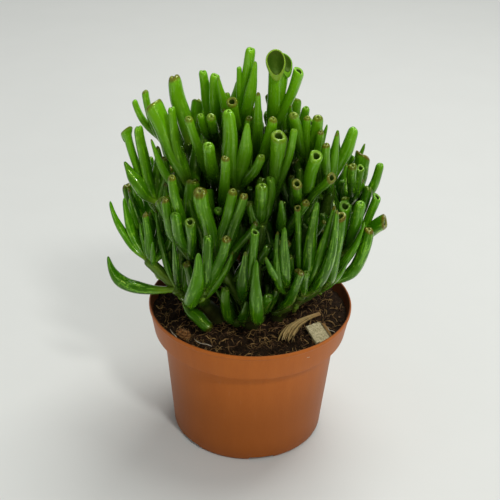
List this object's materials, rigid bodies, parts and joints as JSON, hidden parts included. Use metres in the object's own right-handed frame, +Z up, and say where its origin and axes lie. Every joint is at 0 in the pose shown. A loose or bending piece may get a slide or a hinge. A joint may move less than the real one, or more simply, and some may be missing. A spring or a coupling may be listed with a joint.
{
  "type": "potted succulent",
  "caption": "Bushy succulent with upright finger-shaped leaves that end in small cups, planted in peat in a round tapered plastic pot with a tall collar.",
  "frame": {"origin": "centre of the pot's underside, on the flat pad in the plane the pot stands on", "axes": "+Z up along the pot's axis, -Y towards the viewer of the picture, +X to that viewer's right"},
  "size_m": [0.158, 0.1354, 0.2431],
  "materials": {
    "leaf": "glossy fresh green, reddish at the tips",
    "pot_plastic": "satin terracotta colour",
    "peat": "dark brown, rough and fibrous",
    "wood_chip": "pale grey, dry",
    "bark": "rusty brown, rough",
    "dry_leaf": "straw brown, dry"
  },
  "bodies": {
    "root": {"stem_front_left": "leaf", "stem_front": "leaf", "stem_front_right": "leaf", "stem_right": "leaf", "stem_left": "leaf", "stem_centre": "leaf", "stem_back_left": "leaf", "stem_back_right": "leaf", "stem_back": "leaf", "pot": "pot_plastic", "peat": "peat", "wood_chip": "wood_chip", "bark_crumb": "bark", "dry_leaf": "dry_leaf"}
  },
  "joints": []
}
